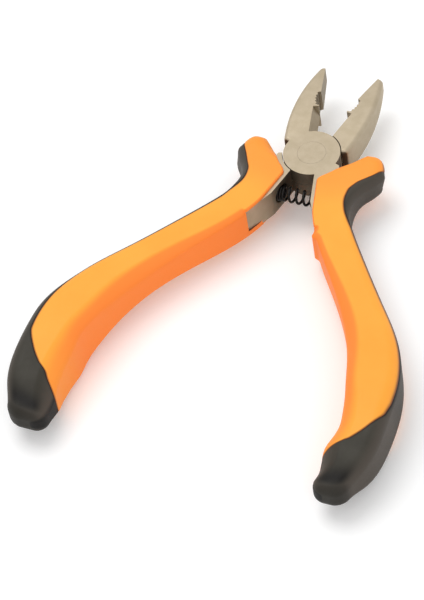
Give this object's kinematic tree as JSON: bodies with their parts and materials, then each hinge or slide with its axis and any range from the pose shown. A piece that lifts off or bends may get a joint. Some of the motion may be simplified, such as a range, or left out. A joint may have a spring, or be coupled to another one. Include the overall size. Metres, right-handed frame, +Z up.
{
  "type": "spring-return combination pliers",
  "caption": "Small spring-return pliers with flat-tipped combination jaws, a lap joint held by a flush rivet and bowed two-tone grips.",
  "frame": {"origin": "on the pivot axis, at the underside of the lap joint", "axes": "+Z up along the pivot axis, +Y from the pivot towards the jaws, +X towards the handle of the upper lever"},
  "size_m": [0.0898, 0.1216, 0.0158],
  "materials": {
    "steel": "satin",
    "spring_steel": "black oxide",
    "orange_grip": "matte",
    "black_grip": "matte"
  },
  "bodies": {
    "lower_half": {"lower_lever": "steel", "pivot_rivet": "steel", "return_spring": "spring_steel", "left_grip_sleeve": "orange_grip", "left_grip_backing": "black_grip"},
    "upper_half": {"upper_lever": "steel", "right_grip_sleeve": "orange_grip", "right_grip_backing": "black_grip"}
  },
  "joints": [
    {"name": "pivot", "type": "hinge", "parent": "lower_half", "child": "upper_half", "pos_m": [0, 0, 0], "axis": [0, 0, 1], "range_deg": [-27, 21], "stiffness_Nm_per_rad": 0.2, "deforming": ["return_spring"]}
  ]
}
